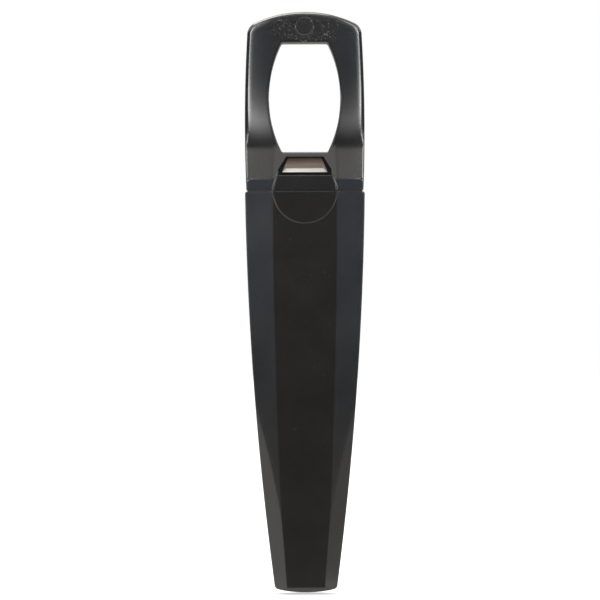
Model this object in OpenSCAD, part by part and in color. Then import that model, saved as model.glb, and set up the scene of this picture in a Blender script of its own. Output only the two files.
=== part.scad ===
// Pocket corkscrew: a ring handle with a wire worm and a cap lifter, and a sheath that pulls off.
// X is the width, Y the depth with the front toward -Y, and Z the length, with the sheath's tip at z = 0.

/* [Overall] */
// Height of the joint between the sheath and the handle
joint_z = 96.6; // [94:0.2:99]
// Height of the handle's crown
crown_z = 140; // [139:0.5:142]
// Half of the depth across the flat front and back panels
half_depth = 8.3; // [8:0.1:8.6]

/* [Sheath] */
// Half of the sheath's width at its widest
sheath_half_w = 14.5; // [14.3:0.1:14.8]
// Height at which the curve of the sheath's sides would be widest
sheath_wide_z = 108.5; // [107:0.5:110]
// Radius of the long curve of each side
sheath_side_r = 830; // [810:10:850]
// Radius of the arc across the tip
tip_r = 30; // [26:1:36]
// Radius of the corners of the tip
tip_corner_r = 1; // [0.6:0.1:1.5]
// Half of the front panel's width at the joint
panel_half_w = 7.6; // [7.4:0.1:7.8]
// Turn of the side facets away from the front panel, in degrees
facet_turn = 19.8; // [18:0.2:21]
// Turn of the lower corner facets away from the front panel, in degrees
corner_turn = 31; // [30:0.5:33]
// Lean of the lower corner facets toward the tip, in degrees
corner_lean = 5.9; // [5.5:0.1:6.2]
// Thickness of the sheath's walls beside the worm
wall = 2.1; // [1.9:0.1:2.3]

/* [Handle] */
// Half of the handle's width at its widest
head_half_w = 14.46; // [14.3:0.02:14.5]
// Radius of the long curve of the handle's sides
head_side_r = 360; // [330:10:400]
// Radius of the crown's arc
crown_r = 29.6; // [28:0.2:32]
// Radius of the corners beside the crown
crown_corner_r = 3; // [2.5:0.1:3.5]
// Slope of the shoulders above the joint, in degrees
shoulder_slope = 17.5; // [16.5:0.5:18]
// Slope at the lower end of the hollow curve that follows the shoulders, in degrees
hollow_slope = 12; // [11:0.5:12.5]

/* [Ring hole] */
// Height of the hole's lower edge above the joint
hole_low = 9.5; // [9.4:0.1:9.8]
// Height of the hole itself
hole_h = 26.4; // [25.8:0.2:26.8]
// Half of the hole's width at its widest
hole_half_w = 8.63; // [8.2:0.05:8.8]
// Radius of the hole's bowed sides
hole_side_r = 29.5; // [28:0.5:32]

/* [Boss and window] */
// Radius of the round boss that the joint splits in two
boss_r = 7.83; // [7.4:0.05:8]
// Height of the boss above the front panel
boss_rise = 0.35; // [0.2:0.05:0.5]
// Height of the window's lower edge above the joint
window_low = 3.8; // [3.7:0.1:4]
// Height of the window itself
window_h = 4.5; // [4.2:0.1:4.5]
// Half of the window's width at its lower edge
window_half_w = 6.44; // [6.2:0.02:6.6]
// Half of the window's width at its upper edge
window_top_half_w = 4.49; // [4.3:0.02:4.7]

/* [Cap lifter] */
// Thickness of the steel strip
plate_t = 1.5; // [1.2:0.1:1.6]
// Depth of the strip's upright face below the shoulder at the window's upper edge
plate_sink = 1.3; // [1.1:0.1:1.5]
// Height of the lip at the strip's lower end
lip_h = 1; // [0.8:0.1:1.2]
// Lean of the lip, forward as it goes down, in degrees
lip_lean = 30; // [20:5:35]

/* [Worm] */
// Diameter of the worm's wire
wire_d = 2.8; // [2.6:0.1:3]
// Radius of the helix at the middle of the wire
helix_r = 3; // [2.8:0.1:3.1]
// Rise of one turn
pitch = 9.6; // [9:0.2:10]
// Length of worm that stands out of the plug
worm_length = 56; // [52:1:57]

/* [Plug] */
// Half of the plug's width
plug_half_w = 11.5; // [11:0.1:11.6]
// Half of the plug's depth
plug_half_depth = 5.7; // [5.5:0.1:5.8]
// Length of the plug below the joint
plug_length = 10.2; // [9:0.2:11]
// Gap between the plug and the mouth of the sheath
plug_gap = 0.15; // [0.1:0.05:0.2]

/* [Hidden] */
$fn = 96;
far = 40;
joint_gap = 0.1;
insert_gap = 0.05;
// How far a cut runs on past the face that it opens
overlap = 1;
black = [0.09, 0.09, 0.1];
steel = [0.72, 0.7, 0.68];

// Sheath: the panel is flat above panel_flat_z and bows back below it, the side facets likewise
panel_flat_z = 80;
panel_bow_r = 922;
facet_flat_z = 84;
facet_bow_r = 850;
end_bevel = 1.2;
mouth_chamfer = 0.5;
knee_z = 15.6;
knee_half_w = 5.65;
cavity_floor_z = 24;
cavity_floor_half_w = 6.2;
cavity_floor_half_depth = 4.8;
cavity_draft = 2;
plug_corner_r = 1.5;

// Handle: heights above the joint where the shoulders, the hollow curve and the flat ring start,
// and where the handle is widest
shoulder_start = 2.9;
hollow_start = 10.7;
ring_start = 36.7;
head_wide = 16.9;
mark_r = 2.1;
mark_drop = 3.4;
mark_depth = 0.15;

// Window: share of its height over which the sides stand upright
window_upright = 0.3;

// Cap lifter: half-widths inside the window, and how far the strip runs back into the handle
plate_low = 0.8;
plate_half_w = 5.56;
plate_top_half_w = 3.55;
plate_leg = 6;
plate_top_gap = 0.1;

// Worm: a right-hand helix sampled along its length, from the anchor's end down to the point
wire_sides = 12;
turn_steps = 24;
shank_length = 5;
ramp_length = 6;
point_length = 7;
point_end_r = 0.12;
anchor_rise = 6;
anchor_reach = 5;
anchor_bend_r = 3;
bend_steps = 6;

hole_z = joint_z + hole_low;
hole_mid_z = hole_z + hole_h / 2;
window_z = joint_z + window_low;
window_top_z = window_z + window_h;
head_z = joint_z + joint_gap;
plug_z = joint_z - plug_length;
bead_z = plug_z - shank_length;
anchor_z = plug_z + anchor_rise;

// n + 1 points of an arc about c, between two angles
function arc(c, r, from, to, n) =
    [for (i = [0:n]) let (a = from + (to - from) * i / n) c + r * [cos(a), sin(a)]];

// Direction of b seen from a, in degrees
function heading(a, b) = atan2(b[1] - a[1], b[0] - a[0]);

// A point at which two circles cross: side is 1 for the left of the line from c1 to c2, -1 for its right
function crossing(c1, r1, c2, r2, side) =
    let (gap = c2 - c1,
         l = norm(gap),
         along = (l * l + r1 * r1 - r2 * r2) / (2 * l),
         away = sqrt(r1 * r1 - along * along),
         u = gap / l)
    c1 + along * u + side * away * [-u[1], u[0]];

// A right-hand outline, from the bottom up, closed with its mirror image
function both_sides(half) =
    concat(half, [for (i = [len(half) - 1:-1:0]) [-half[i][0], half[i][1]]]);

// A smooth step from 0 to 1
function ease(t) = let (s = min(1, max(0, t))) s * s * (3 - 2 * s);

// Depth of the handle's front face at a height above the joint, on the shoulder
function shoulder_depth(h) = half_depth - (h - shoulder_start) * tan(shoulder_slope);

// An X-Z outline, carried along Y
module along_y(depth = far) {
    rotate([90, 0, 0]) linear_extrude(height = 2 * depth, center = true) children();
}

// A Y-Z outline, carried along X
module along_x(width = far) {
    rotate([90, 0, 90]) linear_extrude(height = 2 * width, center = true) children();
}

// A shape repeated at the four corners of the section
module at_corners() {
    for (x = [0, 1], y = [0, 1]) mirror([x, 0, 0]) mirror([0, y, 0]) children();
}

// The section shared by both mouldings: a flat panel with a facet on each side of it
module faceted_section() {
    reach = sheath_half_w + overlap;
    edge = half_depth - (reach - panel_half_w) * tan(facet_turn);
    polygon([
        [panel_half_w, -half_depth], [reach, -edge], [reach, edge], [panel_half_w, half_depth],
        [-panel_half_w, half_depth], [-reach, edge], [-reach, -edge], [-panel_half_w, -half_depth]
    ]);
}

// Repeats a cut for the front panel on the back panel and, turned, on the four side facets
module on_each_face() {
    for (y = [0, 1]) mirror([0, y, 0]) translate([0, -half_depth, 0]) children(0);
    at_corners() translate([panel_half_w, -half_depth, 0]) rotate([0, 0, facet_turn]) children(1);
}

// ---------- Sheath ----------

sheath_c = [sheath_half_w - sheath_side_r, sheath_wide_z];
tip_c = [0, tip_r];
tip_corner_c = crossing(sheath_c, sheath_side_r - tip_corner_r, tip_c, tip_r - tip_corner_r, -1);

module sheath_outline() {
    polygon(both_sides(concat(
        arc(tip_c, tip_r, -90, heading(tip_c, tip_corner_c), 6),
        arc(tip_corner_c, tip_corner_r, heading(tip_c, tip_corner_c), heading(sheath_c, tip_corner_c), 4),
        arc(sheath_c, sheath_side_r, heading(sheath_c, tip_corner_c),
            asin((joint_z - sheath_wide_z) / sheath_side_r), 20)
    )));
}

// How far a face that bows back with radius r has dropped at a distance from where the bow starts
function bow(r, distance) = r - sqrt(r * r - distance * distance);

// Everything in front of a face that is flat above flat_z and bows back below it
module bow_cut(flat_z, bow_r, steps = 12) {
    step = flat_z / steps;
    along_x() polygon(concat(
        [[-far, flat_z - (steps + 1) * step], [-far, flat_z + step], [-bow(bow_r, step), flat_z + step]],
        [for (i = [0:steps + 1]) [bow(bow_r, i * step), flat_z - i * step]]
    ));
}

module corner_facet_cut() {
    translate([knee_half_w, bow(panel_bow_r, panel_flat_z - knee_z) - half_depth, knee_z])
        rotate([0, 0, corner_turn])
        rotate([corner_lean, 0, 0])
        translate([-far, -far, -far])
        cube([2 * far, far, 3 * far]);
}

module end_bevel_cut() {
    translate([0, bow(panel_bow_r, panel_flat_z - end_bevel) - half_depth, end_bevel])
        rotate([45, 0, 0])
        translate([-far, -far, -far])
        cube([2 * far, far, far]);
}

module boss() {
    translate([0, 0, joint_z])
        rotate([90, 0, 0])
        cylinder(r = boss_r, h = 2 * (half_depth + boss_rise), center = true);
}

module plug_shape(grow, low, high) {
    w = plug_half_w + grow;
    d = plug_half_depth + grow;
    translate([0, 0, low])
        linear_extrude(height = high - low)
        difference() {
            square([2 * w, 2 * d], center = true);
            for (x = [-w, w], y = [-d, d]) translate([x, y])
                rotate(45) square(plug_corner_r * sqrt(2), center = true);
        }
}

// The space for the worm narrows evenly toward the tip
module worm_cavity() {
    top_z = plug_z + overlap;
    half_w = sheath_half_w - wall - cavity_draft;
    half_d = plug_half_depth;
    intersection() {
        along_y() polygon([
            [cavity_floor_half_w, cavity_floor_z], [half_w, top_z],
            [-half_w, top_z], [-cavity_floor_half_w, cavity_floor_z]
        ]);
        along_x() polygon([
            [cavity_floor_half_depth, cavity_floor_z - overlap], [half_d, top_z + overlap],
            [-half_d, top_z + overlap], [-cavity_floor_half_depth, cavity_floor_z - overlap]
        ]);
    }
}

module sheath() {
    color(black)
    difference() {
        union() {
            difference() {
                intersection() {
                    along_y() sheath_outline();
                    linear_extrude(height = joint_z) faceted_section();
                }
                on_each_face() {
                    bow_cut(panel_flat_z, panel_bow_r);
                    bow_cut(facet_flat_z, facet_bow_r);
                }
                at_corners() corner_facet_cut();
                for (y = [0, 1]) mirror([0, y, 0]) end_bevel_cut();
                for (x = [0, 1]) mirror([x, 0, 0])
                    translate([sheath_half_w, 0, joint_z])
                    rotate([0, 45, 0])
                    cube([mouth_chamfer, far, mouth_chamfer], center = true);
            }
            intersection() {
                boss();
                translate([-far, -far, 0]) cube([2 * far, 2 * far, joint_z]);
            }
        }
        plug_shape(plug_gap, plug_z, joint_z + overlap);
        worm_cavity();
    }
}

// ---------- Handle ----------

head_c = [head_half_w - head_side_r, joint_z + head_wide];
crown_c = [0, crown_z - crown_r];
crown_corner_c = crossing(head_c, head_side_r - crown_corner_r, crown_c, crown_r - crown_corner_r, 1);

module head_outline() {
    polygon(both_sides(concat(
        arc(head_c, head_side_r, asin((head_z - head_c[1]) / head_side_r),
            heading(head_c, crown_corner_c), 12),
        arc(crown_corner_c, crown_corner_r, heading(head_c, crown_corner_c),
            heading(crown_c, crown_corner_c), 6),
        arc(crown_c, crown_r, heading(crown_c, crown_corner_c), 90, 6)
    )));
}

// The hollow is a cubic curve whose slope dies away toward the flat ring
hollow_h = ring_start - hollow_start;
hollow_fall = hollow_h * tan(hollow_slope) / 3;
hollow_steps = 8;
shoulder_fall = (hollow_start - shoulder_start) * tan(shoulder_slope);
ring_fall = shoulder_fall + hollow_fall;
ring_half_depth = half_depth - ring_fall;

// Everything in front of a face that leans back on the shoulder and hollows out up to the flat ring
module shoulder_cut() {
    low = [-overlap * tan(shoulder_slope), joint_z + shoulder_start - overlap];
    along_x() polygon(concat(
        [[-far, low[1]], low],
        [for (i = [0:hollow_steps]) let (t = i / hollow_steps)
            [shoulder_fall + hollow_fall * (1 - pow(1 - t, 3)), joint_z + hollow_start + hollow_h * t]],
        [[ring_fall, crown_z + overlap], [-far, crown_z + overlap]]
    ));
}

module head_block() {
    difference() {
        intersection() {
            along_y() head_outline();
            linear_extrude(height = crown_z + overlap) faceted_section();
        }
        on_each_face() {
            shoulder_cut();
            shoulder_cut();
        }
    }
}

module ring_hole() {
    across = hole_side_r - hole_half_w;
    along_y() intersection() {
        translate([across, hole_mid_z]) circle(hole_side_r);
        translate([-across, hole_mid_z]) circle(hole_side_r);
        translate([-far, hole_z]) square([2 * far, hole_h]);
    }
}

module window_outline() {
    polygon([
        [window_half_w, window_z], [window_half_w, window_z + window_h * window_upright],
        [window_top_half_w, window_top_z], [-window_top_half_w, window_top_z],
        [-window_half_w, window_z + window_h * window_upright], [-window_half_w, window_z]
    ]);
}

// Y of the steel strip's upright face
plate_y = plate_sink - shoulder_depth(window_low + window_h);

// The strip stands upright behind the window, up to the hole. Its lower end flares forward into the lip
// that catches a cap, and a leg runs back from there into the handle.
module plate_profile(grow) {
    low = window_z + plate_low - grow;
    top = hole_z - plate_top_gap + 2 * grow;
    front = plate_y - grow;
    back = plate_y + plate_t + grow;
    leg_top = low + plate_t + 2 * grow;
    leg_end = plate_y + plate_leg + grow;
    polygon([
        [front, top], [front, low + lip_h], [front - lip_h * tan(lip_lean), low],
        [leg_end, low], [leg_end, leg_top], [back, leg_top], [back, top]
    ]);
}

module plate_outline(grow) {
    low = window_z + plate_low - grow;
    top = hole_z - plate_top_gap + 3 * grow;
    w = plate_half_w + grow;
    t = plate_top_half_w + grow;
    polygon([[w, low], [t, top], [-t, top], [-w, low]]);
}

module plate_shape(grow) {
    intersection() {
        along_x() plate_profile(grow);
        along_y() plate_outline(grow);
    }
}

// Opens the window down to the back of the steel strip
module window_cut() {
    intersection() {
        along_y() window_outline();
        translate([-far, plate_y + plate_t - far, 0]) cube([2 * far, far, crown_z]);
    }
}

module worm_socket() {
    r = wire_d / 2 + insert_gap;
    reach = anchor_bend_r + anchor_reach + insert_gap;
    translate([0, 0, plug_z - overlap]) cylinder(r = r, h = anchor_rise + overlap);
    translate([-r, -r, anchor_z - anchor_bend_r])
        cube([reach + r, 2 * r, anchor_bend_r + r]);
}

module handle_head() {
    color(black)
    difference() {
        union() {
            head_block();
            intersection() {
                boss();
                translate([-far, -far, head_z]) cube([2 * far, 2 * far, window_z - head_z]);
            }
            plug_shape(0, plug_z, joint_z + overlap);
        }
        ring_hole();
        window_cut();
        plate_shape(insert_gap);
        worm_socket();
        translate([0, -ring_half_depth, crown_z - mark_drop])
            rotate([90, 0, 0])
            cylinder(r = mark_r, h = 2 * mark_depth, center = true);
    }
}

module cap_lifter_plate() {
    color(steel) plate_shape(0);
}

// ---------- Worm ----------

// Each station along the wire: its middle, the direction across it that stays level, and its radius
anchor_c = [anchor_bend_r, anchor_z - anchor_bend_r];
anchor_stations = concat(
    [[[anchor_bend_r + anchor_reach, 0, anchor_z], [0, 1, 0], wire_d / 2]],
    [for (i = [0:bend_steps]) let (a = 90 + 90 * i / bend_steps)
        [[anchor_c[0] + anchor_bend_r * cos(a), 0, anchor_c[1] + anchor_bend_r * sin(a)],
         [0, 1, 0], wire_d / 2]]
);
helix_steps = ceil((worm_length - shank_length) / pitch * turn_steps);
helix_stations = [for (i = [0:helix_steps])
    let (s = (worm_length - shank_length) * i / helix_steps,
         a = 90 - 360 * s / pitch,
         r = helix_r * ease(s / ramp_length),
         left = worm_length - shank_length - s,
         wire_r = max(point_end_r, wire_d / 2 * sqrt(min(1, left / point_length))))
    [[r * cos(a), r * sin(a), bead_z - s], [cos(a), sin(a), 0], wire_r]];
stations = concat(anchor_stations, helix_stations);

function tangent(i) =
    let (p = stations[max(0, i - 1)][0], q = stations[min(len(stations) - 1, i + 1)][0])
    (q - p) / norm(q - p);

function ring_at(i) =
    let (t = tangent(i),
         across = cross(t, stations[i][1]),
         v = across / norm(across),
         u = cross(v, t))
    [for (k = [0:wire_sides - 1]) let (a = 360 * k / wire_sides)
        stations[i][0] + stations[i][2] * (cos(a) * u + sin(a) * v)];

module worm() {
    last = len(stations) - 1;
    points = [for (i = [0:last]) each ring_at(i)];
    walls = [for (i = [0:last - 1], k = [0:wire_sides - 1])
        let (a = i * wire_sides + k,
             b = i * wire_sides + (k + 1) % wire_sides,
             c = a + wire_sides,
             d = b + wire_sides)
        each [[a, c, d], [a, d, b]]];
    start_cap = [for (k = [0:wire_sides - 1]) k];
    end_cap = [for (k = [wire_sides - 1:-1:0]) last * wire_sides + k];
    color(steel) polyhedron(points, concat([start_cap], walls, [end_cap]));
}

sheath();
handle_head();
cap_lifter_plate();
worm();
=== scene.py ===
"""Looks of the pocket corkscrew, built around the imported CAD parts. Shapes are worked out in millimetres."""

import bmesh
import bpy
import numpy as np
from math import atan2, cos, pi, radians, sin, sqrt, tan
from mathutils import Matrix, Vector
from mathutils.geometry import delaunay_2d_cdt


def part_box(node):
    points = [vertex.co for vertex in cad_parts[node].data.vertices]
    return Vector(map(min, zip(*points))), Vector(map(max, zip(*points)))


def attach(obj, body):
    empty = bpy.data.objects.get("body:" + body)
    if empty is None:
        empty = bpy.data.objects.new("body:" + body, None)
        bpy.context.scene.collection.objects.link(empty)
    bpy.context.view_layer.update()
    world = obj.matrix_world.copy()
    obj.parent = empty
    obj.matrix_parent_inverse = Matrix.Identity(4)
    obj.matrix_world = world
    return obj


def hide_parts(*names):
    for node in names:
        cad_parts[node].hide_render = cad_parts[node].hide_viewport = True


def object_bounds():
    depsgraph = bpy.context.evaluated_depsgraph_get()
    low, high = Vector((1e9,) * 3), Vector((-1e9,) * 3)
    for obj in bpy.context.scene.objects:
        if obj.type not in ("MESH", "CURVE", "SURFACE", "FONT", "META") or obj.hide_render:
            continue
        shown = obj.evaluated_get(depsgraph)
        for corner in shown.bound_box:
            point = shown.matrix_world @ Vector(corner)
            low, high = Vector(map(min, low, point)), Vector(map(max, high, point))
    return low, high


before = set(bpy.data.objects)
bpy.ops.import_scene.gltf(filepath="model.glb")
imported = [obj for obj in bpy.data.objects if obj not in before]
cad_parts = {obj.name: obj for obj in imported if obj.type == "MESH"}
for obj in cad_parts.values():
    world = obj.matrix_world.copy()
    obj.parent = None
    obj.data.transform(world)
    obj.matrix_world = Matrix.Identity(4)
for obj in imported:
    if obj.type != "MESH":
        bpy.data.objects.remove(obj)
cad_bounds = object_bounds()

MM = 0.001


def corner_mm(node, which):
    """The lowest (0) or highest (1) corner of a CAD node, in millimetres."""
    return [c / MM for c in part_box(node)[which]]


# ---------- Sizes, in millimetres ----------

# The main sizes are those of the CAD parts. Small chamfers and corners differ a little from theirs.
JOINT_Z = corner_mm("sheath", 1)[2]
CROWN_Z = corner_mm("handle_head", 1)[2]
PLUG_Z = corner_mm("handle_head", 0)[2]
BOSS_DEPTH = corner_mm("sheath", 1)[1]
BOSS_RISE = 0.35
HALF_DEPTH = BOSS_DEPTH - BOSS_RISE
JOINT_GAP = 0.1
HEAD_Z = JOINT_Z + JOINT_GAP

SHEATH_HALF_W = 14.5
SHEATH_WIDE_Z = 108.5
SHEATH_SIDE_R = 830
TIP_R = 30
TIP_CORNER_R = 1
PANEL_HALF_W = 7.6
PANEL_FLAT_Z = 80
PANEL_BOW_R = 922
FACET_TURN = radians(19.8)
FACET_FLAT_Z = 84
FACET_BOW_R = 850
CORNER_TURN = radians(31)
CORNER_LEAN = radians(5.9)
KNEE_Z = 15.6
KNEE_HALF_W = 5.65
END_BEVEL = 1.2
MOUTH_CHAMFER = 0.3

HEAD_HALF_W = corner_mm("handle_head", 1)[0]
HEAD_SIDE_R = 360
HEAD_WIDE_Z = JOINT_Z + 16.9
CROWN_R = 29.6
CROWN_CORNER_R = 3
SHOULDER_START = 2.9
SHOULDER_SLOPE = radians(17.5)
HOLLOW_START = 10.7
HOLLOW_SLOPE = radians(12)
RING_START = 36.7

HOLE_Z = JOINT_Z + 9.5
HOLE_H = 26.4
HOLE_HALF_W = 8.63
HOLE_SIDE_R = 29.5
HOLE_CORNER_R = 1.3
BOSS_R = 7.83
WINDOW_Z = JOINT_Z + 3.8
WINDOW_H = 4.5
WINDOW_HALF_W = 6.44
WINDOW_TOP_HALF_W = 4.49
WINDOW_UPRIGHT = 0.3
WINDOW_CORNER_R = 0.35
POCKET_DEPTH = 3

PLUG_HALF_W = 11.5
PLUG_HALF_DEPTH = 5.7
PLUG_CORNER_R = 1.2
PLUG_CHAMFER = 0.5
PLUG_ROOT = 0.6
PLUG_GAP = 0.15

# Radii that round the edges of the mouldings
SHEATH_EDGE_R = 0.22
SHEATH_RIM_R = 0.1
HEAD_FOOT_R = 0.2
SHOULDER_EDGE_R = 0.35
RING_EDGE_R = 1.1
RING_EDGE_RISE = 4
HOLE_EDGE_R = 0.4
WINDOW_EDGE_R = 0.08

# Longest stretch of an outline, and the size of the squares between the edges
OUTLINE_STEP = 0.6
HOLE_STEP = 0.5
WINDOW_STEP = 0.35
SHEATH_GRID = 0.7
HEAD_GRID = 0.6
SHEATH_WALL_LAYERS = 10
HEAD_WALL_LAYERS = 8
# Corners that turn less than this stay as they are.
LEAST_TURN = radians(12)
# Points closer to the middle than this have no mirror image.
ON_AXIS = 1e-6


# ---------- Small geometry helpers ----------

def arc(c, r, start, end, n):
    """n + 1 points of an arc about c, between two angles in radians."""
    angles = np.linspace(start, end, n + 1)
    return [(c[0] + r * cos(a), c[1] + r * sin(a)) for a in angles]


def heading(a, b):
    """Angle of the way from a to b."""
    return atan2(b[1] - a[1], b[0] - a[0])


def crossing(c1, r1, c2, r2, side):
    """Where two circles cross: side is 1 for the left of the line from c1 to c2, -1 for its right."""
    gap = np.subtract(c2, c1)
    length = np.hypot(*gap)
    along = (length ** 2 + r1 ** 2 - r2 ** 2) / (2 * length)
    away = sqrt(r1 ** 2 - along ** 2)
    u = gap / length
    return tuple(np.array(c1) + along * u + side * away * np.array([-u[1], u[0]]))


def both_sides(half):
    """A right-hand outline from the bottom up, closed with its mirror image."""
    return list(half) + [(-x, z) for x, z in reversed(half) if abs(x) > ON_AXIS]


def densify(points, step, closed=True):
    """The same polyline with no stretch longer than step."""
    out = []
    ends = points[1:] + points[:1] if closed else points[1:]
    for p, q in zip(points, ends):
        n = max(1, int(np.ceil(np.hypot(q[0] - p[0], q[1] - p[1]) / step)))
        out += [(p[0] + (q[0] - p[0]) * i / n, p[1] + (q[1] - p[1]) * i / n) for i in range(n)]
    return out if closed else out + [points[-1]]


def round_corners(points, radius, steps=4):
    """A closed polygon with each corner rounded, where the corner is sharp enough to need it."""
    out = []
    n = len(points)
    for i, p in enumerate(points):
        a = Vector(points[i - 1]) - Vector(p)
        b = Vector(points[(i + 1) % n]) - Vector(p)
        turn = pi - a.angle(b)
        if turn < LEAST_TURN:
            out.append(tuple(p))
            continue
        cut = min(radius * tan(turn / 2), a.length / 2, b.length / 2)
        start = Vector(p) + a.normalized() * cut
        end = Vector(p) + b.normalized() * cut
        for k in range(steps + 1):
            t = k / steps
            q = start * (1 - t) ** 2 + Vector(p) * 2 * t * (1 - t) + end * t ** 2
            out.append(tuple(q))
    return out


def smooth_min(a, b, k):
    """The lower of two heights, blended over about k where they cross."""
    h = np.clip(0.5 + 0.5 * (b - a) / k, 0, 1)
    return b + (a - b) * h - k * h * (1 - h)


def ease(t):
    """From 0 to 1 with a level start and end."""
    t = np.clip(t, 0, 1)
    return t * t * (3 - 2 * t)


def bow(r, distance):
    """How far an arc of radius r falls away at a distance from where it is level."""
    return r - np.sqrt(r * r - distance * distance)


def polygon_area(loop):
    """Area of a closed loop, positive where it runs anticlockwise."""
    p = np.array(loop)
    q = np.roll(p, -1, axis=0)
    return 0.5 * float(np.sum(p[:, 0] * q[:, 1] - q[:, 0] * p[:, 1]))


def inside(points, loop):
    """Which points lie inside a closed loop."""
    x, z = points[:, 0], points[:, 1]
    odd = np.zeros(len(points), bool)
    for (x1, z1), (x2, z2) in zip(loop, loop[1:] + loop[:1]):
        if z1 == z2:
            continue
        across = (z1 > z) != (z2 > z)
        odd ^= across & (x < (x2 - x1) * (z - z1) / (z2 - z1) + x1)
    return odd


def distance_to(points, line, closed):
    """Distance from each point to a polyline, and the index of the nearest stretch."""
    best = np.full(len(points), 1e9)
    near = np.zeros(len(points), int)
    ends = line[1:] + line[:1] if closed else line[1:]
    for i, (p, q) in enumerate(zip(line, ends)):
        p, q = np.array(p), np.array(q)
        d = q - p
        t = np.clip(((points - p) @ d) / max(d @ d, 1e-12), 0, 1)
        gap = np.hypot(*(points - p - t[:, None] * d).T)
        closer = gap < best
        best[closer] = gap[closer]
        near[closer] = i
    return best, near


def offset(loop, distances, closed=True):
    """The loop moved to its left by a distance for each point."""
    p = np.array(loop)
    before = np.roll(p, 1, axis=0)
    after = np.roll(p, -1, axis=0)
    if not closed:
        before[0] = 2 * p[0] - p[1]
        after[-1] = 2 * p[-1] - p[-2]
    e1 = p - before
    e2 = after - p
    e1 /= np.linalg.norm(e1, axis=1)[:, None]
    e2 /= np.linalg.norm(e2, axis=1)[:, None]
    n1 = np.stack([-e1[:, 1], e1[:, 0]], axis=1)
    n2 = np.stack([-e2[:, 1], e2[:, 0]], axis=1)
    n = n1 + n2
    n /= np.linalg.norm(n, axis=1)[:, None]
    stretch = 1 / np.clip(np.sum(n * n1, axis=1), 0.7, 1)
    moved = p + n * (np.asarray(distances) * stretch)[:, None]
    return [tuple(v) for v in moved]


# ---------- Mouldings: two height fields joined by walls ----------

EDGE_STEPS = (0, 15, 30, 45, 60, 75, 90)
# How close the squares of the face may come to its edges and creases, as shares of a square
EDGE_CLEARANCE = 0.4
LINE_CLEARANCE = 0.35
# Points of the plan closer than this are one vertex.
MERGE = 1e-5
# delaunay_2d_cdt's way to return every triangle inside the points' convex hull
ALL_TRIANGLES = 0


class Edge:
    """A closed edge of a moulding's face, with the radius that rounds it at each point."""

    def __init__(self, loop, radius, hole=False):
        if (polygon_area(loop) < 0) != hole:
            loop = loop[::-1]
        self.loop = loop
        self.hole = hole
        if callable(radius):
            self.radius = np.array([radius(x, z) for x, z in loop])
        else:
            self.radius = np.full(len(loop), float(radius))

    def reach(self):
        """How far from the edge the face is certain to be flat, at each point."""
        return self.radius * 1.6 + 0.1

    def rings(self):
        """The loops that carry the rounding, from the edge into the face, and one past it."""
        for a in EDGE_STEPS:
            yield offset(self.loop, self.radius * (1 - cos(radians(a))))
        yield offset(self.loop, self.reach())


def triangulate(edges, lines, grid):
    """Vertices and triangles of a face's plan, with rings along its edges and lines along its creases."""
    points, wires = [], []

    def add(line, closed):
        first = len(points)
        points.extend(line)
        last = len(points) - 1
        wires.extend((i, i + 1) for i in range(first, last))
        if closed:
            wires.append((last, first))

    for edge in edges:
        for ring in edge.rings():
            add(ring, True)
    for line in lines:
        add(line, False)
    outer = edges[0].loop
    low = np.min(outer, axis=0)
    high = np.max(outer, axis=0)
    nx = int(np.ceil(high[0] / grid))
    xs = np.arange(-nx, nx + 1) * grid
    zs = np.arange(low[1] + grid / 2, high[1], grid)
    squares = np.array([(x, z) for z in zs for x in xs])
    keep = inside(squares, outer)
    for edge in edges:
        gap, near = distance_to(squares, edge.loop, True)
        keep &= gap > edge.reach()[near] + grid * EDGE_CLEARANCE
    for line in lines:
        gap, _ = distance_to(squares, line, False)
        keep &= gap > grid * LINE_CLEARANCE
    points.extend(tuple(p) for p in squares[keep])
    plan = delaunay_2d_cdt([Vector(p) for p in points], wires, [], ALL_TRIANGLES, MERGE, False)
    v = np.array([(p.x, p.y) for p in plan[0]])
    t = np.array(plan[2])
    middle = v[t].mean(axis=1)
    keep = inside(middle, outer)
    for edge in edges:
        if edge.hole:
            keep &= ~inside(middle, edge.loop)
    return v, t[keep]


def edge_drop(v, edges):
    """How far the rounding at the edges lowers each vertex."""
    drop = np.zeros(len(v))
    for edge in edges:
        gap, near = distance_to(v, edge.loop, True)
        r = edge.radius[near]
        s = np.clip(gap / r, 0, 1)
        drop = np.maximum(drop, r * (1 - np.sqrt(np.maximum(0, 1 - (1 - s) ** 2))))
    return drop


def open_edges(triangles):
    """Edges that only one triangle has, each with the direction that the triangle gives it."""
    seen = {}
    for a, b, c in triangles:
        for p, q in ((a, b), (b, c), (c, a)):
            if (q, p) in seen:
                del seen[(q, p)]
            else:
                seen[(p, q)] = True
    return list(seen)


def add_walls(bm, pairs, rows):
    """Quads between rows of vertices, along open edges: rows[k][v] is the vertex of layer k."""
    for p, q in pairs:
        for upper, lower in zip(rows, rows[1:]):
            bm.faces.new((upper[q], upper[p], lower[p], lower[q]))


def wall_rows(bm, ids, v, front, back, layers):
    """Layers of vertices between the front and back faces, for the vertices named in ids."""
    rows = []
    for k in range(1, layers):
        t = k / layers
        rows.append({i: bm.verts.new((v[i][0], front[i] * (1 - t) + back[i] * t, v[i][1])) for i in ids})
    return rows


def finish_mesh(name, bm, sharp_angle=32):
    """Turns a bmesh in millimetres into a smooth-shaded object in metres."""
    bmesh.ops.scale(bm, vec=(MM, MM, MM), verts=bm.verts)
    bmesh.ops.recalc_face_normals(bm, faces=bm.faces)
    mesh = bpy.data.meshes.new(name)
    bm.to_mesh(mesh)
    bm.free()
    mesh.shade_smooth()
    mesh.set_sharp_from_angle(angle=radians(sharp_angle))
    obj = bpy.data.objects.new(name, mesh)
    bpy.context.scene.collection.objects.link(obj)
    return obj


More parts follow.
